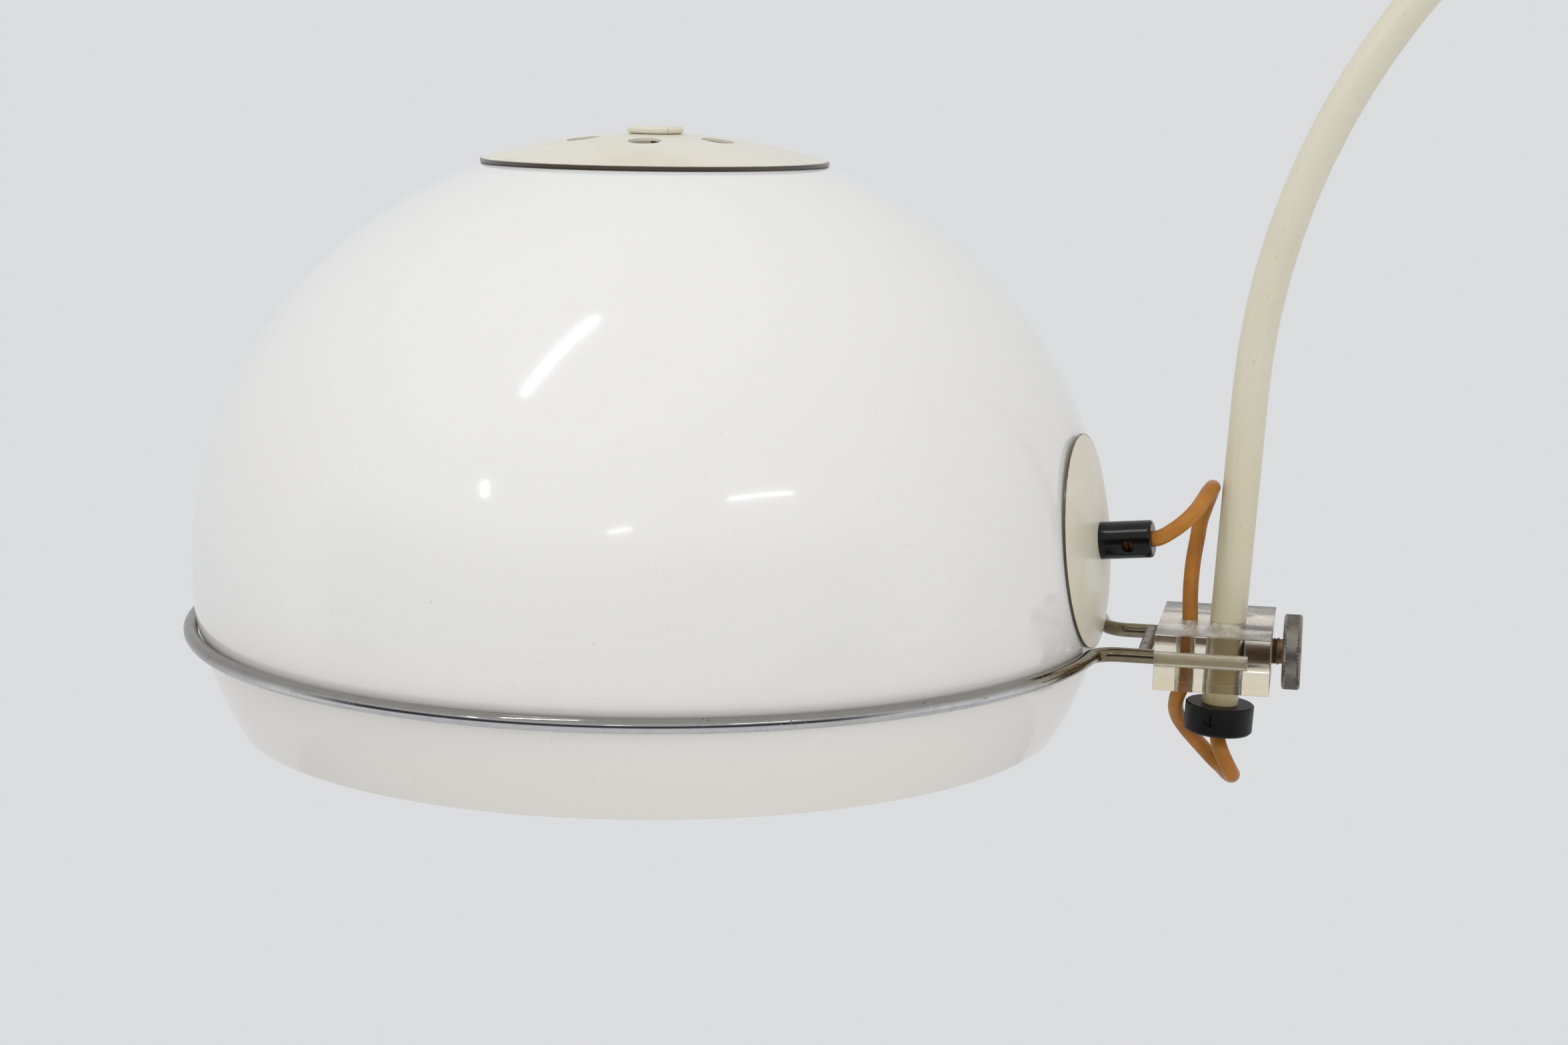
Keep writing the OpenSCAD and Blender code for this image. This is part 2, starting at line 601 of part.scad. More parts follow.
module clamp_screw() color("silver")
    at_head() translate([block_x + bore_x + arc_d / 2 + 2 * free_fit, 0, 0])
        thumb_screw(screw_d, block_l - bore_x - arc_d / 2 + 2.5, screw_d - 1, 1.6, knob_d, knob_t);

// Shade
module shade_dome() color([0.93, 0.93, 0.92]) difference() {
    at_head() rotate_extrude() polygon(concat(
        [for (i = [0 : dome_steps]) dome_point(i / dome_steps, 0)],
        [for (i = [dome_steps : -1 : 0]) dome_point(i / dome_steps, shade_wall)]));
    at_disc() translate([0, 0, -20]) cylinder(r = nipple_d / 2 + hole_fit, h = 40);
}
// A point on the dome's outline, u = 0 at the rim and 1 at the open top, inset by the wall
function dome_point(u, inset) = let (
    r = shade_r - inset,
    low = dome_low_h - inset,
    high = dome_top_h - inset,
    from = -asin((rim_drop + widest_z) / low),
    to = acos(vent_hole_r / r),
    a = from + (to - from) * u)
    [r * cos(a), widest_z + (a < 0 ? low : high) * sin(a)];

module vent_cap() color([0.86, 0.84, 0.76]) at_head() translate([0, 0, cap_edge_z]) difference() {
    spun_cup(cap_d, cap_rise, sheet, cap_lip);
    cylinder(r = stud_d / 2 + hole_fit, h = 2 * cap_rise);
    for (i = [0 : vent_count - 1]) rotate([0, 0, vent_turn + i * 360 / vent_count])
        translate([vent_r, 0, 0]) cylinder(d = vent_d, h = 2 * cap_rise);
}

module finial() color([0.86, 0.84, 0.76]) at_head() translate([0, 0, cap_top_z]) {
    rotate_extrude() polygon([
        [0, 0], [finial_d / 2 - 0.8, 0], [finial_d / 2, 0.8], [finial_d / 2, finial_h - 1],
        [finial_d / 2 - 1, finial_h], [0, finial_h + 0.4]]);
    stud_h = cap_top_z - bridge_top_z + bridge_t + stud_drop;
    translate([0, 0, -stud_h]) cylinder(d = stud_d, h = stud_h + 1);
}

module cap_bridge() color("silver") at_head() translate([0, 0, bridge_top_z - bridge_t]) difference() {
    translate([-bridge_half, -6, 0]) cube([2 * bridge_half, 12, bridge_t]);
    translate([0, 0, -1]) cylinder(r = stud_d / 2 + hole_fit, h = bridge_t + 2);
}

module cap_nut() color("silver") at_head() translate([0, 0, bridge_top_z - bridge_t - 3.2]) difference() {
    cylinder(d = 8, h = 3.2, $fn = 6);
    translate([0, 0, -1]) cylinder(d = stud_d, h = 6);
}

module side_disc() color([0.82, 0.80, 0.72]) at_disc() translate([0, 0, disc_rim + disc_lip]) difference() {
    spun_cup(disc_d, disc_rise - disc_lip, sheet, disc_lip);
    translate([0, 0, -1]) cylinder(r = nipple_d / 2 + hole_fit, h = 2 * disc_rise);
}

module disc_washer() color("silver") at_disc() translate([0, 0, washer_at - washer_t]) difference() {
    cylinder(d = washer_d, h = washer_t);
    translate([0, 0, -1]) cylinder(r = nipple_d / 2 + hole_fit, h = washer_t + 2);
}

module gland_nut() color("silver") at_disc() translate([0, 0, holder_top]) difference() {
    cylinder(d = nut_af / cos(30), h = nut_t, $fn = 6);
    translate([0, 0, -1]) cylinder(d = nipple_d, h = nut_t + 2);
}

module gland_nipple() color("silver") at_disc() translate([0, 0, holder_top - 9]) difference() {
    cylinder(d = nipple_d, h = disc_apex + nipple_reach - holder_top + 9);
    translate([0, 0, -1]) cylinder(r = flex_d / 2 + 0.1, h = 60);
}

module cord_gland() color([0.04, 0.04, 0.04]) at_disc() translate([0, 0, disc_apex]) difference() {
    rotate_extrude() polygon([
        [0, 0], [gland_d / 2, 0], [gland_d / 2, gland_h - 1.2], [gland_d / 2 - 0.35, gland_h - 0.35],
        [gland_d / 2 - 1.2, gland_h], [0, gland_h]]);
    translate([0, 0, -1]) cylinder(d = nipple_d, h = nipple_reach + 1);
    translate([0, 0, -1]) cylinder(r = flex_d / 2 + 0.1, h = gland_h + 2);
    translate([0, 0, gland_screw_at - disc_apex]) rotate([0, 0, gland_screw_turn]) rotate([90, 0, 0])
        cylinder(d = gland_hole_d, h = gland_d);
}

module gland_screw() color("dimgray") at_disc() translate([0, 0, gland_screw_at])
    rotate([0, 0, gland_screw_turn]) translate([0, -flex_d / 2 - 0.1, 0]) rotate([90, 0, 0])
        slotted_grub(gland_hole_d, gland_d / 2 - flex_d / 2 - gland_screw_sunk);

module gland_flex() color([0.66, 0.40, 0.16]) at_disc() translate([0, 0, holder_top - 12])
    cylinder(d = flex_d, h = gland_end - holder_top + 12);

module lamp_holder() color([0.07, 0.07, 0.07]) at_disc() translate([0, 0, holder_mouth]) difference() {
    rotate_extrude() polygon([
        [0, 0], [holder_d / 2, 0], [holder_d / 2, 24], [holder_d / 2 - 2, 26], [holder_d / 2 - 4, 40],
        [holder_d / 2 - 9, holder_h - 1], [holder_d / 2 - 10, holder_h], [0, holder_h]]);
    translate([0, 0, -1]) cylinder(d = shell_d + 2, h = 31);
    translate([0, 0, 28]) cylinder(d = nipple_d, h = holder_h);
}

module holder_shell() color("gold") at_disc() translate([0, 0, holder_mouth + 3]) difference() {
    cylinder(d = shell_d + 2, h = 27);
    translate([0, 0, -1]) cylinder(d = shell_d, h = 26.5);
    translate([0, 0, -1]) cylinder(d = 6, h = 40);
}

module bulb_cap() color("silver") at_disc() translate([0, 0, holder_mouth]) {
    cylinder(d = shell_d - 0.6, h = bulb_cap_h - 3);
    translate([0, 0, bulb_cap_h - 3]) cylinder(d1 = shell_d - 2, d2 = 10, h = 4);
}

// Glass bulb: a ball with a neck that runs down to its cap
neck_r = shell_d / 2 - 0.3;
module bulb_glass() color([0.97, 0.97, 0.95]) at_disc() {
    translate([0, 0, bulb_mid]) sphere(d = bulb_d);
    translate([0, 0, bulb_mid]) rotate_extrude() polygon([
        [0, 0], [bulb_d / 2 - 1.5, 7.5], [bulb_d / 2 - 4, 14.5], [neck_r + 6, 25], [neck_r + 1.5, 36],
        [neck_r, 44], [neck_r, holder_mouth - bulb_mid], [0, holder_mouth - bulb_mid]]);
}

base_felt();
base_weight();
base_cover();
mast_socket();
socket_bolts();
socket_grub();
base_flex();
lead_gland();
lead_to_switch();
foot_switch();
switch_button();
lead_to_coil();
lead_coil();
lead_tie();
lead_to_plug();
plug_body();
plug_pins();
mast_tube();
stop_ring();
mast_bush();
mast_collar();
mast_grub();
height_screw();
arc_tube();
slide_ring();
end_collar();
collar_grub();
arc_flex();
clamp_block();
ring_wire();
crossbar();
head_flex();
clamp_screw();
shade_dome();
vent_cap();
finial();
cap_bridge();
cap_nut();
side_disc();
disc_washer();
gland_nut();
gland_nipple();
cord_gland();
gland_screw();
gland_flex();
lamp_holder();
holder_shell();
bulb_cap();
bulb_glass();
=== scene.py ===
import bpy
import math
from mathutils import Matrix, Vector


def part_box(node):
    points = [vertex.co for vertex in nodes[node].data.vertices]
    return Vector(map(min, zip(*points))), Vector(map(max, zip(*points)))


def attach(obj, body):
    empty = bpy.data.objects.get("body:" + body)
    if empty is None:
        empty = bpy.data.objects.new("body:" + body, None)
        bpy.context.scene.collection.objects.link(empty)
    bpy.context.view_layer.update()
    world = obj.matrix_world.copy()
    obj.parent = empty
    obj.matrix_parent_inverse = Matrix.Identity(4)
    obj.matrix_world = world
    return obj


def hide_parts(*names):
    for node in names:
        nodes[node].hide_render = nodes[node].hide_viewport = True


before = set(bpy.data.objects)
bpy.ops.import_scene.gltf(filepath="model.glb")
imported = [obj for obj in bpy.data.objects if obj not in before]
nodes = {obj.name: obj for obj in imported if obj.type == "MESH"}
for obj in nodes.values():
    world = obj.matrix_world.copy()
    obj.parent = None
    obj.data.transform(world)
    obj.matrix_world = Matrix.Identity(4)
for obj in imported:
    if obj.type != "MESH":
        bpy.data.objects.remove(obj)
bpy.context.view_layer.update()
bpy.ops.object.select_all(action="DESELECT")

mm = 0.001
domeLow, domeHigh = [Vector(c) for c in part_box("shade_dome")]
ringLow, ringHigh = [Vector(c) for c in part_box("ring_wire")]
head = (domeLow + domeHigh) / 2
head.z = (ringLow.z + ringHigh.z) / 2  # middle of the ring, in the ring's plane


def atHead(x, y, z):
    return head + Vector((x, y, z)) * mm


# Camera
cameraSetup = {
    "offset": (311, -1182.2, 258.5), "pan": 11.89, "tilt": 9.94, "roll": 0.837,
    "lens": 61.29, "sensor": 36, "near": 0.05, "far": 60,
}


def addCamera():
    pan, tilt, roll = [math.radians(cameraSetup[k]) for k in ("pan", "tilt", "roll")]
    ahead = Vector((-math.sin(pan) * math.cos(tilt), math.cos(pan) * math.cos(tilt), -math.sin(tilt)))
    level = Vector((math.cos(pan), math.sin(pan), 0))
    above = level.cross(ahead)
    right = level * math.cos(roll) + above * math.sin(roll)
    up = above * math.cos(roll) - level * math.sin(roll)
    bpy.ops.object.camera_add()
    camera = bpy.context.object
    camera.name = "camera"
    turned = Matrix((right, up, -ahead)).transposed().to_4x4()
    camera.matrix_world = Matrix.Translation(atHead(*cameraSetup["offset"])) @ turned
    camera.data.sensor_width = cameraSetup["sensor"]
    camera.data.lens = cameraSetup["lens"]
    camera.data.clip_start = cameraSetup["near"]
    camera.data.clip_end = cameraSetup["far"]
    bpy.context.scene.camera = camera


addCamera()
print("camera set")


# Shader maths: a socket that can be added, multiplied and so on
class Socket:
    def __init__(self, tree, link=None):
        self.tree = tree
        self.link = link

    def node(self, kind, settings, inputs, output=0):
        made = self.tree.nodes.new("ShaderNode" + kind)
        for name, value in settings.items():
            if name == "stops":
                ramp = made.color_ramp
                while len(ramp.elements) < len(value):
                    ramp.elements.new(1)
                for element, (place, colour) in zip(ramp.elements, value):
                    element.position = place
                    element.color = (*colour, 1)
            else:
                setattr(made, name, value)
        for name, value in inputs.items():
            if isinstance(value, Socket):
                self.tree.links.new(value.link, made.inputs[name])
            else:
                made.inputs[name].default_value = value
        return Socket(self.tree, made.outputs[output])

    def maths(self, operation, *values):
        return self.node("Math", {"operation": operation}, dict(enumerate(values)))

    def __add__(self, other):
        return self.maths("ADD", self, other)

    __radd__ = __add__

    def __sub__(self, other):
        return self.maths("SUBTRACT", self, other)

    def __rsub__(self, other):
        return self.maths("SUBTRACT", other, self)

    def __mul__(self, other):
        return self.maths("MULTIPLY", self, other)

    __rmul__ = __mul__

    def __neg__(self):
        return self.maths("MULTIPLY", self, -1.0)


def place(look, scale=(1, 1, 1), centre=(0, 0, 0)):
    # Object coordinates about a centre, stretched by scale
    here = look.node("TexCoord", {}, {}, 3)
    shifted = look.node("VectorMath", {"operation": "SUBTRACT"}, {0: here, 1: tuple(centre)})
    return look.node("VectorMath", {"operation": "MULTIPLY"}, {0: shifted, 1: tuple(scale)})


def along(look, where, axis):
    return look.node("SeparateXYZ", {}, {0: where}, "XYZ".index(axis))


def noise(look, where, scale, detail=3.0):
    settings = {"Vector": where, "Scale": scale, "Detail": detail, "Roughness": 0.55}
    return look.node("TexNoise", {}, settings)


def between(look, value, low, high):
    # 0 under low, 1 over high, smooth between
    ends = {"Value": value, "From Min": low, "From Max": high}
    return look.node("MapRange", {"interpolation_type": "SMOOTHSTEP"}, ends)


def blendColour(look, share, first, second):
    ends = {0: share}
    for slot, colour in ((6, first), (7, second)):
        ends[slot] = colour if isinstance(colour, Socket) else (*colour, 1)
    return look.node("Mix", {"data_type": "RGBA"}, ends, 2)


def bumpFrom(look, height, depth, strength):
    return look.node("Bump", {}, {"Height": height, "Distance": depth, "Strength": strength})


def newFinish(name, **plain):
    # A finish with one shader, its even values set straight on the shader's sockets
    finish = bpy.data.materials.new(name)
    finish.use_nodes = True
    tree = finish.node_tree
    tree.nodes.clear()
    shader = tree.nodes.new("ShaderNodeBsdfPrincipled")
    out = tree.nodes.new("ShaderNodeOutputMaterial")
    tree.links.new(shader.outputs[0], out.inputs[0])
    for socket, value in plain.items():
        shader.inputs[socket.replace("_", " ")].default_value = value
    return finish, Socket(tree), shader


def feed(look, shader, **sockets):
    for socket, value in sockets.items():
        look.tree.links.new(value.link, shader.inputs[socket.replace("_", " ")])


# Finishes
creamTones = {"clean": (0.715, 0.680, 0.540), "aged": (0.660, 0.610, 0.440), "grime": (0.20, 0.16, 0.09)}


def makeCream(name, yellowAt=None, shadowLineAt=None, tint=None, shadeUnder=None):
    finish, look, shader = newFinish(name, IOR=1.5, Coat_Roughness=0.12)
    here = place(look)
    cloud = between(look, noise(look, here, 14), 0.35, 0.7)
    colour = blendColour(look, cloud * 0.5, tint or creamTones["clean"], creamTones["aged"])
    if yellowAt:
        # Handled and sun-aged near a height
        low, high = yellowAt
        near = 1 - between(look, along(look, here, "Z"), low, high)
        colour = blendColour(look, near * 0.55, colour, (0.60, 0.545, 0.36))
        gripped = 1 - between(look, along(look, here, "Z"), low + 0.0125, low + 0.0135)
        colour = blendColour(look, gripped * 0.7, colour, (0.46, 0.385, 0.20))
    fineDirt = between(look, noise(look, place(look, (1, 1, 0.35)), 900, 2), 0.66, 0.78)
    scratch = between(look, noise(look, place(look, (300, 300, 9)), 1.0, 2), 0.66, 0.74)
    patch = between(look, noise(look, here, 22, 2), 0.45, 0.7)
    colour = blendColour(look, fineDirt * 0.35 + scratch * patch * 0.3, colour, creamTones["grime"])
    if shadowLineAt:
        # Painted shadow: a thin dark line at the rim, standing in for the shade in the gap under the edge
        centre, axis, radius = shadowLineAt
        away = place(look, (1, 1, 1), centre)
        reach = look.node("VectorMath", {"operation": "DOT_PRODUCT"}, {0: away, 1: tuple(axis)}, 1)
        flat = look.node("VectorMath", {"operation": "LENGTH"}, {0: away}, 1)
        ring = look.maths("SQRT", flat * flat - reach * reach)
        rim = between(look, ring + noise(look, here, 260) * 0.0008, radius - 0.0002, radius + 0.0004)
        colour = blendColour(look, rim * 0.95, colour, (0.035, 0.022, 0.010))
    if shadeUnder:
        # Painted shade: dark brown inside a ball about a centre, which darkens the cap's underside and the
        # inner walls of its vent holes as shade
        centre, radius = shadeUnder
        depth = look.node("VectorMath", {"operation": "LENGTH"}, {0: place(look, (1, 1, 1), centre)}, 1)
        inside = 1 - between(look, depth, radius - 0.0001, radius)
        colour = blendColour(look, inside, colour, (0.030, 0.018, 0.010))
    rough = 0.3 + cloud * 0.12 + scratch * 0.15
    ripple = noise(look, here, 160, 2)
    feed(look, shader, Base_Color=colour, Roughness=rough, Normal=bumpFrom(look, ripple, 0.0002, 0.25))
    shader.inputs["Coat Weight"].default_value = 0.25
    return finish


def makeAcrylic():
    finish, look, shader = newFinish("whiteAcrylic", IOR=1.49, Coat_Roughness=0.03, Coat_Weight=0.3)
    here = place(look, centre=head)
    cloud = between(look, noise(look, here, 5, 2), 0.3, 0.75)
    colour = blendColour(look, cloud, (0.832, 0.826, 0.806), (0.815, 0.807, 0.782))
    # Painted shade: the dome is darker and warmer below the ring, where it faces down away from the light
    low = 1 - between(look, along(look, here, "Z"), -0.030, 0.035)
    colour = blendColour(look, low * 0.7, colour, (0.815, 0.780, 0.705))
    speck = between(look, noise(look, here, 700, 1), 0.77, 0.81)
    grey = between(look, noise(look, place(look, (1, 1, 2.5), head), 90, 3), 0.55, 0.8)
    colour = blendColour(look, speck * 0.4 + grey * 0.03, colour, (0.35, 0.30, 0.24))
    fine = noise(look, here, 60, 2)
    feed(look, shader, Base_Color=colour, Roughness=0.09 + cloud * 0.04,
         Normal=bumpFrom(look, fine, 0.0002, 0.05))
    shader.inputs["Subsurface Weight"].default_value = 0.12
    shader.inputs["Subsurface Radius"].default_value = (0.012, 0.011, 0.010)
    return finish


def makeWire():
    finish, look, shader = newFinish("ringChrome", IOR=1.5)
    here = place(look, centre=head)
    reach = along(look, here, "X")
    arms = between(look, reach + noise(look, here, 60) * 0.012, 0.185, 0.215)
    far = 1 - between(look, reach + noise(look, here, 30) * 0.05, -0.15, -0.06)
    haze = between(look, noise(look, here, 150, 4), 0.42, 0.75)
    # Painted reflection: the upper side of the wire is darker brown, standing in for the dome mirrored in it
    upper = between(look, along(look, here, "Z"), -0.0004, 0.0022)
    colour = blendColour(look, haze * 0.3, (0.70, 0.70, 0.70), (0.40, 0.39, 0.37))
    colour = blendColour(look, upper * 0.75, colour, (0.20, 0.185, 0.155))
    colour = blendColour(look, far * 0.7, colour, (0.24, 0.235, 0.225))
    olive = blendColour(look, noise(look, here, 240, 4), (0.12, 0.09, 0.035), (0.30, 0.25, 0.14))
    colour = blendColour(look, arms * 0.9, colour, olive)
    rustPatch = between(look, noise(look, here, 45, 3), 0.56, 0.66)
    rust = rustPatch * between(look, noise(look, here, 900, 2), 0.60, 0.68)
    colour = blendColour(look, rust * 0.9, colour, (0.10, 0.045, 0.018))
    # In the block the hole's milky wall hides the arm
    milky = between(look, reach, 0.2354, 0.2358)
    colour = blendColour(look, milky, colour, (0.60, 0.58, 0.54))
    feed(look, shader, Base_Color=colour, Metallic=(1 - rust * 0.8) * (1 - milky * 0.7),
         Roughness=0.06 + haze * 0.06 + arms * 0.08 + far * 0.20 + rust * 0.4 + milky * 0.3,
         Normal=bumpFrom(look, rust + haze * 0.1, 0.0002, 0.3))
    return finish


def makeMetal(name, bright, dull, rough, dirt=0.2, metal=1.0):
    finish, look, shader = newFinish(name, IOR=1.5)
    here = place(look)
    lay = noise(look, here, 300, 3)
    stain = between(look, noise(look, here, 130, 4), 0.5, 0.75)
    colour = blendColour(look, lay, bright, dull)
    colour = blendColour(look, stain * dirt, colour, (0.05, 0.035, 0.02))
    feed(look, shader, Base_Color=colour, Roughness=rough + lay * 0.12 + stain * dirt * 0.5,
         Metallic=metal - stain * dirt * 0.6, Normal=bumpFrom(look, lay, 0.0001, 0.3))
    return finish


def makePlastic(name, tone, second, rough, coat=0.0, grainScale=500, depth=0.0001, shine=0.5):
    finish, look, shader = newFinish(name, IOR=1.5, Coat_Roughness=0.06, Specular_IOR_Level=shine)
    here = place(look)
    cloud = between(look, noise(look, here, 40, 3), 0.35, 0.7)
    fine = noise(look, here, grainScale, 2)
    colour = blendColour(look, cloud, tone, second)
    feed(look, shader, Base_Color=colour, Roughness=rough + fine * 0.08,
         Normal=bumpFrom(look, fine, depth, 0.25))
    shader.inputs["Coat Weight"].default_value = coat
    return finish


def makeFlex():
    finish, look, shader = newFinish("flexBrown", IOR=1.42, Coat_Roughness=0.2)
    here = place(look)
    cloud = between(look, noise(look, here, 55, 3), 0.3, 0.72)
    colour = blendColour(look, cloud, (0.47, 0.188, 0.022), (0.35, 0.126, 0.012))
    pale = between(look, noise(look, place(look, (1, 1, 0.4)), 160, 2), 0.62, 0.78)
    colour = blendColour(look, pale * 0.35, colour, (0.56, 0.28, 0.07))
    dark = between(look, noise(look, here, 380, 3), 0.66, 0.78)
    colour = blendColour(look, dark * 0.4, colour, (0.14, 0.05, 0.012))
    fine = noise(look, here, 420, 3)
    feed(look, shader, Base_Color=colour, Roughness=0.36 + cloud * 0.12,
         Normal=bumpFrom(look, fine, 0.0002, 0.2))
    shader.inputs["Coat Weight"].default_value = 0.05
    return finish


def makeClear(name, rough, tone, stain):
    finish, look, shader = newFinish(name, IOR=1.49, Transmission_Weight=1.0)
    here = place(look, centre=head)
    cloud = noise(look, here, 60, 3)
    height = along(look, here, "Z")
    low = 1 - between(look, height + cloud * 0.012, -0.008, 0.016)
    drip = between(look, noise(look, place(look, (1, 1, 3), head), 90, 4), 0.48, 0.66)
    colour = blendColour(look, low * 0.75 + cloud * 0.2, tone, stain)
    colour = blendColour(look, drip * 0.35, colour, (0.80, 0.68, 0.42))
    # The top is hazy with wear
    top = between(look, height, 0.0121, 0.0124)
    colour = blendColour(look, top * 0.5, colour, (0.93, 0.88, 0.82))
    haze = between(look, noise(look, here, 500, 3), 0.5, 0.8)
    feed(look, shader, Base_Color=colour, Roughness=rough + haze * 0.08 + top * 0.22,
         Normal=bumpFrom(look, haze, 0.0001, 0.1))
    return finish


def makeFelt():
    finish, look, shader = newFinish("blackFelt", Roughness=0.95, Sheen_Weight=0.4)
    here = place(look)
    nap = noise(look, here, 1800, 3)
    feed(look, shader, Base_Color=blendColour(look, nap, (0.02, 0.02, 0.022), (0.08, 0.08, 0.085)),
         Normal=bumpFrom(look, nap, 0.0006, 0.8))
    return finish


def makeIron():
    finish, look, shader = newFinish("castIron", Metallic=0.6)
    here = place(look)
    grain = noise(look, here, 420, 4)
    rust = between(look, noise(look, here, 30, 4), 0.55, 0.7)
    colour = blendColour(look, rust * 0.5, (0.05, 0.05, 0.052), (0.12, 0.06, 0.03))
    feed(look, shader, Base_Color=colour, Roughness=0.6 + grain * 0.25,
         Normal=bumpFrom(look, grain, 0.0005, 0.6))
    return finish


# Side disc: its middle out, aside and up from the ring's middle, its tilt, the gland's mouth out from it,
# and where its painted shadow line at the rim starts
discShape = {"out": 208.72, "side": 20.7, "up": 49.5, "tilt": 6.0, "mouth": 24.9, "rim": 47.4}
discTurn = -math.asin(discShape["side"] / discShape["out"])
discTilt = math.radians(discShape["tilt"])
discFlat = Vector((math.cos(discTurn), math.sin(discTurn), 0)) * math.cos(discTilt)
discAxis = discFlat + Vector((0, 0, math.sin(discTilt)))
discMid = atHead(discShape["out"] * math.cos(discTurn), -discShape["side"], discShape["up"])
# Vent cap: where its painted shadow line at the edge starts, and the ball inside which its metal is painted
# dark brown as shade
capShape = {"rim": 78.5, "ballMiddle": -43.9, "ballRadius": 265.4}
tubeGrip = 160  # the arc tube is yellowed up to this height over the ring
looks = {
    "cream": makeCream("creamLacquer"),
    "tube": makeCream("creamTube", yellowAt=(head.z, head.z + tubeGrip * mm)),
    "cap": makeCream("creamCap", shadowLineAt=(head, (0, 0, 1), capShape["rim"] * mm), tint=(0.765, 0.735, 0.61),
                     shadeUnder=(atHead(0, 0, capShape["ballMiddle"]), capShape["ballRadius"] * mm)),
    "disc": makeCream("creamDisc", shadowLineAt=(discMid, discAxis, discShape["rim"] * mm),
                      tint=(0.77, 0.735, 0.60)),
    "acrylic": makeAcrylic(),
    "wire": makeWire(),
    "crossbar": makeMetal("brownRod", (0.16, 0.12, 0.09), (0.30, 0.25, 0.20), 0.3, dirt=0.6),
    "steel": makeMetal("nickelledSteel", (0.60, 0.59, 0.57), (0.48, 0.47, 0.45), 0.25),
    "worn": makeMetal("wornSteel", (0.40, 0.37, 0.33), (0.20, 0.18, 0.15), 0.30, dirt=0.8),
    # Painted shade: the cap's bridge is near-black brown, dark as the shade seen through the vent holes
    "holeShade": makeMetal("holeShadeSteel", (0.035, 0.022, 0.014), (0.02, 0.014, 0.010), 0.6,
                          dirt=0.5, metal=0.3),
    "rust": makeMetal("rustyGrub", (0.16, 0.09, 0.05), (0.09, 0.05, 0.03), 0.55, dirt=0.9),
    "rusty": makeMetal("rustyThread", (0.34, 0.24, 0.15), (0.20, 0.12, 0.07), 0.42, dirt=0.8),
    "chrome": makeMetal("baseChrome", (0.80, 0.80, 0.80), (0.72, 0.72, 0.72), 0.08, dirt=0.1),
    "blackSteel": makePlastic("blackSteel", (0.005, 0.005, 0.005), (0.009, 0.009, 0.009), 0.38, shine=0.2),
    "blackGloss": makePlastic("blackGloss", (0.003, 0.003, 0.003), (0.006, 0.005, 0.005), 0.10,
                              grainScale=90, shine=0.3),
    "blackMoulded": makePlastic("blackMoulded", (0.018, 0.018, 0.018), (0.030, 0.030, 0.030), 0.38),
    "red": makePlastic("redButton", (0.36, 0.03, 0.02), (0.28, 0.02, 0.016), 0.28, coat=0.3),
    "nylon": makePlastic("whiteNylon", (0.74, 0.73, 0.68), (0.66, 0.64, 0.58), 0.45),
    "opal": makePlastic("opalGlass", (0.86, 0.86, 0.84), (0.82, 0.82, 0.79), 0.10,
                        coat=0.5, grainScale=60, depth=0.00005),
    "brass": makeMetal("brassShell", (0.78, 0.56, 0.24), (0.60, 0.42, 0.18), 0.28, dirt=0.3),
    "flex": makeFlex(),
    "clear": makeClear("clearAcrylic", 0.03, (0.975, 0.955, 0.895), (0.93, 0.83, 0.58)),
    "drilled": makeClear("drilledAcrylic", 0.32, (0.95, 0.92, 0.84), (0.84, 0.72, 0.46)),
    "felt": makeFelt(),
    "iron": makeIron(),
}
print("finishes made")

# Cords: the flex at the head and the mains lead. Their points follow the lamp's own routes, in millimetres
flexSetup = {
    "across": 7.0, "hole": (248.4, 0, 0), "tubeEnd": (262.77, 0, -34.95), "blockHalf": 12.5, "straight": 1.2,
    "over": [(-12.9, -23.7, 40.5), (-8.9, -24.2, 43), (-3.4, -23.7, 47.3), (1.6, -20.5, 52.3),
             (4.6, -15.5, 56.5), (6.6, -9, 59.5), (7.6, -2, 60), (7.1, 5, 58.5), (6.1, 9.5, 55),
             (4.1, 13, 49), (2.1, 14.5, 42), (1.1, 13, 34.5), (0.1, 9.5, 26.5), (-0.4, 5.5, 18.5),
             (-0.4, 2, 10), (0, 0, 1.5)],
    "under": [(0, 0, -0.5), (-3.2, 2, -8), (-5, 5.5, -14), (-4.9, 11, -21), (-1.9, 16.5, -28),
              (2.1, 19.5, -33.5), (7.1, 20.5, -39), (12.1, 18.5, -43.5), (16.1, 15, -46)],
    "end": [(5.2, 8.5, -25), (7.2, 1.5, -23.5), (6.7, -3, -21), (4.7, -5.5, -16.5), (2.2, -5, -11.5),
            (0.4, -2.2, -7.2), (-0.2, 0, -3.5), (0, 0, -0.4)],
}


def headRoute():
    s = flexSetup
    hole, tubeEnd, half = Vector(s["hole"]), Vector(s["tubeEnd"]), Vector((0, 0, s["blockHalf"]))
    points = [hole + half + Vector(p) for p in s["over"]] + [hole]
    points += [hole - half + Vector(p) for p in s["under"]] + [tubeEnd + Vector(p) for p in s["end"]]
    # It leaves the gland straight
    start = [discMid + discAxis * (discShape["mouth"] + out) * mm for out in (0, s["straight"])]
    return start + [atHead(*p) for p in points]


leadSetup = {
    "across": 7.0,
    "toSwitch": [(-174, 100.5, 12), (-188, 108.5, 11.4), (-205, 118, 9), (-226, 129, 5.6), (-248, 138, 3.6),
                 (-272, 145, 3.5), (-297, 149, 3.5), (-320, 150, 4.2), (-340, 150, 6.4), (-356, 150, 7)],
    "toCoil": [(-395, 150, 7), (-434, 150, 7), (-450, 150, 6.4), (-470, 150, 4.6), (-492, 150, 3.9),
               (-515, 149.8, 4.4), (-535, 149.6, 4.7)],
    "toPlug": [(-566, 149, 11.5), (-584, 147.5, 9.6), (-604, 144, 6.2), (-624, 139, 4.2),
               (-644, 134, 4.2), (-664, 131, 5.8), (-685, 130, 7)],
    "coil": (-550, 100), "outer": 49.5, "low": 4.7, "turns": 3, "steps": 16, "tuck": 2.5,
}


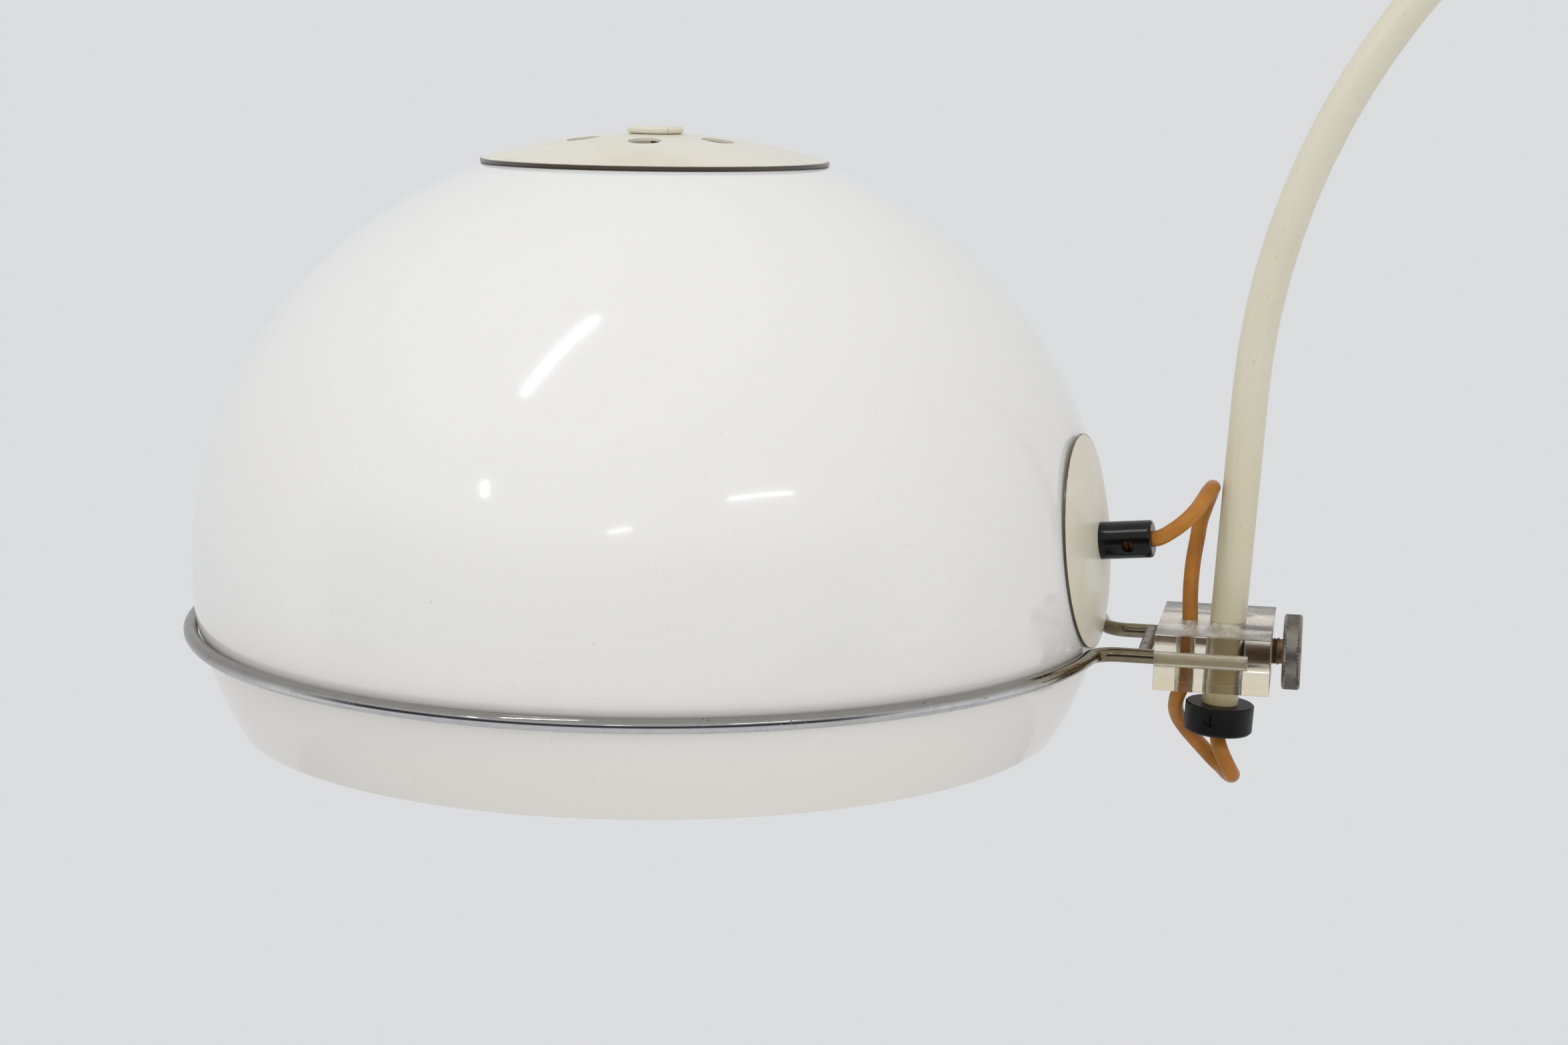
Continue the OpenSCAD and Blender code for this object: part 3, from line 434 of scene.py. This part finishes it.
def addCord(name, points, across, body, finish):
    line = bpy.data.curves.new(name, "CURVE")
    line.dimensions = "3D"
    line.bevel_depth = across * mm / 2
    line.bevel_resolution = 5
    line.resolution_u = 6
    line.use_fill_caps = True
    spline = line.splines.new("BEZIER")
    spline.bezier_points.add(len(points) - 1)
    for knot, point in zip(spline.bezier_points, points):
        knot.co = point
        knot.handle_left_type = knot.handle_right_type = "AUTO"
    cord = bpy.data.objects.new(name, line)
    bpy.context.collection.objects.link(cord)
    line.materials.append(finish)
    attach(cord, body)
    return cord


def lengthOf(points):
    return sum((b - a).length for a, b in zip(points, points[1:]))


def coilPoints():
    # In to the middle on the floor, up, and out again on top
    s = leadSetup
    middleX, middleY = s["coil"]
    pitch = s["across"]
    points = []
    for i in range(s["steps"] * (2 * s["turns"] + 1) + 1):
        turn = i / s["steps"]
        up = min(max(turn - s["turns"], 0), 1)
        inward = s["outer"] - pitch * min(turn, s["turns"])
        outward = pitch * max(turn - s["turns"] - 1, 0)
        radius = inward + outward - s["tuck"] * math.sin(math.pi * up)
        height = s["low"] + pitch * math.sin(math.pi / 2 * up)
        angle = math.pi / 2 + 2 * math.pi * turn
        points.append((middleX + radius * math.cos(angle), middleY + radius * math.sin(angle), height))
    return points


def addCords():
    headPoints = headRoute()
    headFlex = addCord("headFlex", headPoints, flexSetup["across"], "head", looks["flex"])
    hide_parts("head_flex")
    lengthOf(headPoints)
    leadRoute = leadSetup["toSwitch"] + leadSetup["toCoil"] + coilPoints() + leadSetup["toPlug"]
    leadPoints = [Vector(p) * mm for p in leadRoute]
    lead = addCord("mainsLead", leadPoints, leadSetup["across"], "base", looks["flex"])
    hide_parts("lead_to_switch", "lead_to_coil", "lead_coil", "lead_to_plug")
    lengthOf(leadPoints)
    print("cords laid:", round(lengthOf(headPoints), 3), "m and", round(lengthOf(leadPoints), 3), "m")


addCords()


# Modelling helpers
def finished(piece, body, slot, *replaced):
    # The piece's place goes into its mesh, and it rides on its body
    bpy.ops.object.select_all(action="DESELECT")
    piece.select_set(True)
    bpy.context.view_layer.objects.active = piece
    bpy.ops.object.transform_apply(location=True, rotation=True, scale=True)
    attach(piece, body)
    if replaced:
        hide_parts(*replaced)
    piece.select_set(False)
    return piece


def pick(piece, kind, test):
    # Selects what passes the test: points by place, edges by both ends, faces by middle and normal
    bpy.ops.mesh.select_mode(type=kind)
    bpy.ops.mesh.select_all(action="DESELECT")
    bpy.ops.object.mode_set(mode="OBJECT")
    mesh = piece.data
    if kind == "VERT":
        for point in mesh.vertices:
            point.select = test(point.co)
    elif kind == "EDGE":
        for edge in mesh.edges:
            edge.select = test(*[mesh.vertices[v].co for v in edge.vertices])
    else:
        for face in mesh.polygons:
            face.select = test(face.center, face.normal)
    bpy.ops.object.mode_set(mode="EDIT")


def modify(piece, kind, **settings):
    bpy.ops.object.select_all(action="DESELECT")
    piece.select_set(True)
    bpy.context.view_layer.objects.active = piece
    bpy.ops.object.modifier_add(type=kind)
    modifier = piece.modifiers[-1]
    for name, value in settings.items():
        setattr(modifier, name, value)
    bpy.ops.object.modifier_apply(modifier=modifier.name)


def smooth(angle):
    bpy.ops.object.shade_smooth_by_angle(angle=math.radians(angle))


def settle(finish, angle=30):
    # Closes seams, turns faces outwards and leaves edit mode
    bpy.ops.mesh.select_all(action="SELECT")
    bpy.ops.mesh.remove_doubles(threshold=0.000001)
    bpy.ops.mesh.normals_make_consistent(inside=False)
    bpy.ops.object.mode_set(mode="OBJECT")
    piece = bpy.context.object
    smooth(angle)
    piece.data.materials.clear()
    piece.data.materials.append(finish)
    return piece


def named(name):
    # Sets the new primitive's place into its mesh and opens it for editing
    bpy.ops.object.transform_apply(location=True, rotation=True, scale=True)
    bpy.context.object.name = name
    bpy.context.object.data.name = name
    bpy.ops.object.mode_set(mode="EDIT")
    return bpy.context.object


def cutAt(place, way, **clear):
    bpy.ops.mesh.select_all(action="SELECT")
    bpy.ops.mesh.bisect(plane_co=place, plane_no=way, **clear)


def addRod(name, sides, across, start, end):
    # A cylinder along X, on the head's axis
    middle = atHead((start + end) / 2, 0, 0)
    bpy.ops.mesh.primitive_cylinder_add(vertices=sides, radius=across / 2 * mm, depth=(end - start) * mm,
                                        location=middle, rotation=(0, math.pi / 2, 0))
    return named(name)


# Dome shade
domeShape = {
    "radius": 210, "widest": 28, "upper": 195, "lower": 168, "rim": -44, "top": 70, "wall": 3.5,
    "soft": 0.8, "around": 192, "rows": 128,
}


def makeDome():
    s = domeShape
    middle = atHead(0, 0, s["widest"])
    bpy.ops.mesh.primitive_uv_sphere_add(segments=s["around"], ring_count=s["rows"], radius=s["radius"] * mm,
                                         location=middle)
    dome = named("shadeDome")
    for height, side in ((s["upper"], 1), (s["lower"], -1)):
        pick(dome, "VERT", lambda p: (p.z - middle.z) * side > 1e-6)
        bpy.ops.transform.resize(value=(1, 1, height / s["radius"]), center_override=middle)
    topZ = s["widest"] + s["upper"] * math.sqrt(1 - (s["top"] / s["radius"]) ** 2)
    cutAt(atHead(0, 0, s["rim"]), (0, 0, 1), clear_inner=True)
    cutAt(atHead(0, 0, topZ), (0, 0, 1), clear_outer=True)
    settle(looks["acrylic"])
    modify(dome, "SOLIDIFY", thickness=s["wall"] * mm, offset=-1, use_even_offset=True)
    modify(dome, "BEVEL", width=s["soft"] * mm, segments=3, limit_method="ANGLE",
           angle_limit=math.radians(60))
    smooth(40)
    return finished(dome, "head", "white_acrylic", "shade_dome")


makeDome()
print("dome made")

# Ring wire: one bar, bent as the real one is
wireShape = {
    "across": 6.5, "side": 26.4, "bend": 12, "ring": 210.704, "armEnd": 274.4,
    "sides": 28, "bendSteps": 14, "ringSteps": 200,
}


def makeWirePiece():
    s = wireShape
    bendY = s["side"] + s["bend"]
    bendX = math.sqrt((s["ring"] + s["bend"]) ** 2 - bendY ** 2)
    turn = math.asin(bendY / (s["ring"] + s["bend"]))
    bpy.ops.mesh.primitive_circle_add(vertices=s["sides"], radius=s["across"] / 2 * mm, fill_type="NGON",
                                      location=atHead(s["armEnd"], s["side"], 0),
                                      rotation=(0, math.pi / 2, 0))
    wire = named("ringWire")
    back = (bendX - s["armEnd"]) * mm
    bpy.ops.mesh.select_all(action="SELECT")
    bpy.ops.mesh.extrude_region_move(TRANSFORM_OT_translate={"value": (back, 0, 0)})
    # With no window, spin turns against the axis it is given
    corner = math.pi / 2 - turn
    bends = [
        (s["bendSteps"], corner, atHead(bendX, bendY, 0), 1),
        (s["ringSteps"], 2 * math.pi - 2 * turn, head, -1),
        (s["bendSteps"], corner, atHead(bendX, -bendY, 0), 1),
    ]
    for steps, angle, middle, way in bends:
        bpy.ops.mesh.spin(steps=steps, angle=angle, center=middle, axis=(0, 0, way))
    bpy.ops.mesh.extrude_region_move(TRANSFORM_OT_translate={"value": (-back, 0, 0)})
    settle(looks["wire"], 40)
    return finished(wire, "head", "chrome", "ring_wire")


makeWirePiece()
print("ring bent")

# Clear block: a bevelled plate with its bores. Places are from the ring's middle
blockShape = {
    "x": 235.4, "length": 50, "width": 75, "height": 25, "soft": 0.5, "through": 40,
    "tubeAt": 264.6, "tubeBore": 8.05, "lean": 3, "flexAt": 248.4, "flexBore": 4.0,
    "armBore": 3.26, "armSide": 26.4, "armDeep": 39.8, "screwBore": 6.0, "screwDeep": 12.8,
}


def cutBore(block, name, radius, length, middle, turn):
    bpy.ops.mesh.primitive_cylinder_add(vertices=64, radius=radius * mm, depth=length * mm,
                                        location=middle, rotation=turn)
    cutter = bpy.context.object
    cutter.name = name
    cutter.data.materials.append(looks["drilled"])
    modify(block, "BOOLEAN", operation="DIFFERENCE", solver="EXACT", object=cutter, material_mode="TRANSFER")
    bpy.data.objects.remove(cutter)


def makeBlock():
    s = blockShape
    bpy.ops.mesh.primitive_cube_add(size=1, location=atHead(s["x"] + s["length"] / 2, 0, 0),
                                    scale=(s["length"] * mm, s["width"] * mm, s["height"] * mm))
    block = named("clampBlock")
    bpy.ops.mesh.select_mode(type="EDGE")
    bpy.ops.mesh.select_all(action="SELECT")
    bpy.ops.mesh.bevel(offset=s["soft"] * mm, segments=3)
    settle(looks["clear"])
    through = s["through"]
    sideways = (0, math.pi / 2, 0)
    leaning = (0, math.radians(s["lean"]), 0)
    cutBore(block, "boreTube", s["tubeBore"], through, atHead(s["tubeAt"], 0, 0), leaning)
    cutBore(block, "boreFlex", s["flexBore"], through, atHead(s["flexAt"], 0, 0), (0, 0, 0))
    for side in (-s["armSide"], s["armSide"]):
        armMiddle = atHead(s["x"] + s["armDeep"] - through, side, 0)
        cutBore(block, "boreArm", s["armBore"], 2 * through, armMiddle, sideways)
    screwMiddle = atHead(s["x"] + s["length"] - s["screwDeep"] + through / 2, 0, 0)
    cutBore(block, "boreScrew", s["screwBore"], through, screwMiddle, sideways)
    bpy.ops.object.select_all(action="DESELECT")
    block.select_set(True)
    bpy.context.view_layer.objects.active = block
    smooth(30)
    return finished(block, "head", "clear_acrylic", "clamp_block")


makeBlock()
print("block cut")

# Thumb screw: thread, neck and knurled head, along X from the ring's middle
screwShape = {
    "thread": 11.9, "start": 273.2, "pitch": 1.2, "root": 0.9, "out": 288.3, "neck": 11, "overlap": 2,
    "knobAt": 289.9, "knob": 33.5, "thick": 8, "chamfer": 0.7, "face": 0.9, "skin": 0.05,
    "rows": 4, "around": 62, "depth": 0.75, "sides": 48,
}


def fromAxis(p):
    return math.hypot(p.y - head.y, p.z - head.z)


def makeThread():
    s = screwShape
    half = s["pitch"] / 2 * mm
    thread = addRod("screwThread", s["sides"], s["thread"], s["start"], s["out"])
    startX, endX = atHead(s["start"], 0, 0).x, atHead(s["out"], 0, 0).x
    for i in range(2 * int((s["out"] - s["start"]) / s["pitch"])):
        cutAt((startX + (i + 0.5) * half, 0, 0), (1, 0, 0))

    # Every other ring of points is drawn in, which leaves the ridges
    def isRoot(p):
        inside = startX + 1e-5 < p.x < endX - 1e-5
        return inside and round((p.x - startX) / half - 0.5) % 2 == 0
    pick(thread, "VERT", isRoot)
    bpy.ops.transform.resize(value=(1, s["root"], s["root"]), center_override=head)
    return settle(looks["rusty"], 20)


def makeNeck():
    s = screwShape
    middle = (s["knobAt"] + s["out"]) / 2
    half = (s["knobAt"] - s["out"] + s["overlap"]) / 2
    addRod("screwNeck", s["sides"], s["neck"], middle - half, middle + half)
    cutAt(atHead(middle, 0, 0), (1, 0, 0))
    return settle(looks["rusty"])


def makeKnob():
    s = screwShape
    outer = s["knob"] / 2
    flat = s["thick"] - 2 * s["chamfer"]
    step = flat / (2 * s["rows"])
    knob = addRod("screwKnob", 2 * s["around"], s["knob"], s["knobAt"], s["knobAt"] + s["thick"])
    knobX = atHead(s["knobAt"], 0, 0).x
    pick(knob, "FACE", lambda c, n: abs(n.x) > 0.9)
    bpy.ops.mesh.inset(thickness=s["face"] * mm)
    pick(knob, "VERT", lambda p: fromAxis(p) > (outer - s["skin"]) * mm)
    bpy.ops.transform.resize(value=(flat / s["thick"], 1, 1),
                             center_override=atHead(s["knobAt"] + s["thick"] / 2, 0, 0))
    for i in range(1, 2 * s["rows"]):
        cutAt((knobX + (s["chamfer"] + i * step) * mm, 0, 0), (1, 0, 0))

    # Every other point stays high, which leaves the diamonds
    def isLow(p):
        if fromAxis(p) < (outer - s["skin"]) * mm:
            return False
        row = round(((p.x - knobX) / mm - s["chamfer"]) / step)
        column = round(math.atan2(p.z - head.z, p.y - head.y) / (math.pi / s["around"]))
        return 0 < row < 2 * s["rows"] and (row + column) % 2 == 1
    pick(knob, "VERT", isLow)
    shrink = 1 - s["depth"] / outer
    bpy.ops.transform.resize(value=(1, shrink, shrink), center_override=head)
    return settle(looks["worn"], 12)


def makeScrew():
    thread, neck, knob = makeThread(), makeNeck(), makeKnob()
    for piece in (thread, neck, knob):
        finished(piece, "head_screw", "steel")
    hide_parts("clamp_screw")


makeScrew()
print("thumb screw cut")

# Finishes on the pieces that keep their shape
wearing = {
    "cream": ["base_cover", "mast_tube"],
    "tube": ["arc_tube"],
    "cap": ["vent_cap", "finial"],
    "disc": ["side_disc"],
    "crossbar": ["crossbar"],
    "steel": ["socket_bolts", "socket_grub", "mast_grub", "height_screw", "cap_nut", "disc_washer",
              "gland_nut", "gland_nipple", "bulb_cap", "plug_pins"],
    "rust": ["gland_screw"],
    "chrome": ["mast_socket"],
    "blackSteel": ["mast_collar", "end_collar", "collar_grub"],
    "blackGloss": ["cord_gland", "lamp_holder"],
    "blackMoulded": ["lead_gland", "foot_switch", "lead_tie", "plug_body"],
    "red": ["switch_button"],
    "nylon": ["mast_bush", "slide_ring", "stop_ring"],
    "opal": ["bulb_glass"],
    "brass": ["holder_shell"],
    "flex": ["base_flex", "arc_flex", "gland_flex"],
    "felt": ["base_felt"],
    "iron": ["base_weight"],
    # Painted shade: the cap's bridge is made near-black, as shade inside the vent holes
    "holeShade": ["cap_bridge"],
}
for look, wearers in wearing.items():
    for wearer in wearers:
        node = nodes[wearer]
        node.data.materials.clear()
        node.data.materials.append(looks[look])
print("finishes on")

# Studio: pale floor, pale surround, soft lights
studio = {
    "surround": (0.715, 0.718, 0.735), "dark": (0.05, 0.05, 0.055), "ambient": 1.0,
    "floorRadius": 2.4, "floorMiddle": (-0.45, 0, 0),
}


def addStudio():
    bpy.ops.mesh.primitive_circle_add(vertices=96, radius=studio["floorRadius"], fill_type="NGON",
                                      location=studio["floorMiddle"])
    floor = bpy.context.object
    floor.name = "floor"
    finish, look, shader = newFinish("paleFloor", Roughness=0.6)
    cloud = noise(look, place(look), 3, 2)
    feed(look, shader, Base_Color=blendColour(look, cloud, (0.66, 0.66, 0.67), (0.70, 0.70, 0.71)))
    floor.data.materials.append(finish)
    world = bpy.data.worlds.new("studioWorld")
    bpy.context.scene.world = world
    world.use_nodes = True
    tree = world.node_tree
    tree.nodes.clear()
    look = Socket(tree)
    way = look.node("TexCoord", {}, {}, 0)
    up = along(look, way, "Z")
    front = -along(look, way, "Y")
    # The room is darker behind the camera, about the horizon
    level = between(look, up, -0.55, -0.15) * (1 - between(look, up, 0.10, 0.40))
    band = between(look, front, 0.1, 0.6) * level
    mirrored = look.node("LightPath", {}, {}, 3)
    tone = blendColour(look, band * mirrored, studio["surround"], studio["dark"])
    glow = look.node("Background", {}, {"Color": tone, "Strength": studio["ambient"]})
    out = tree.nodes.new("ShaderNodeOutputWorld")
    tree.links.new(glow.link, out.inputs[0])


def addPanel(name, direction, distance, size, sizeY, power):
    # A soft fill that looks at the shade from a direction and leaves no reflection
    way = Vector(direction).normalized()
    bpy.ops.object.light_add(type="AREA", location=head + way * distance)
    lamp = bpy.context.object
    lamp.name = name
    lamp.rotation_euler = way.to_track_quat("Z", "Y").to_euler()
    lamp.data.shape = "RECTANGLE"
    lamp.data.size = size
    lamp.data.size_y = sizeY
    lamp.data.energy = power
    lamp.visible_glossy = False


def addStrip(name, first, second, width, power):
    # A bright strip between two places, in millimetres from the head, that the shade mirrors
    start, end = atHead(*first), atHead(*second)
    bpy.ops.object.light_add(type="AREA", location=(start + end) / 2)
    lamp = bpy.context.object
    lamp.name = name
    lengthwise = (end - start).normalized()
    back = ((start + end) / 2 - head).normalized()
    across = back.cross(lengthwise).normalized()
    lamp.rotation_euler = Matrix((lengthwise, across, lengthwise.cross(across))).transposed().to_euler()
    lamp.data.shape = "RECTANGLE"
    lamp.data.size = (end - start).length
    lamp.data.size_y = width
    lamp.data.energy = power


addStudio()
addPanel("softLeft", (-0.24, -0.40, 0.88), 2.2, 0.6, 1.3, 7.5)
addPanel("softRight", (0.70, -0.70, 0.15), 2.6, 1.4, 1.4, 7)
addPanel("softLow", (0.05, -0.86, -0.50), 2.0, 1.2, 0.8, 2.6)
addStrip("stripLeft", (-823, -1438, 1999), (-319, -638, 2482), 0.06, 4.0)
addStrip("stripRight", (1369, -2077, 1317), (1913, -1585, 1306), 0.045, 1.2)
addStrip("stripFront", (191, -2642, 955), (445, -2591, 1011), 0.05, 0.35)
addStrip("spotFront", (-1193, -2150, 1343), (-1166, -2251, 1194), 0.08, 0.6)
bpy.context.scene.view_settings.view_transform = "Standard"
print("studio lit")
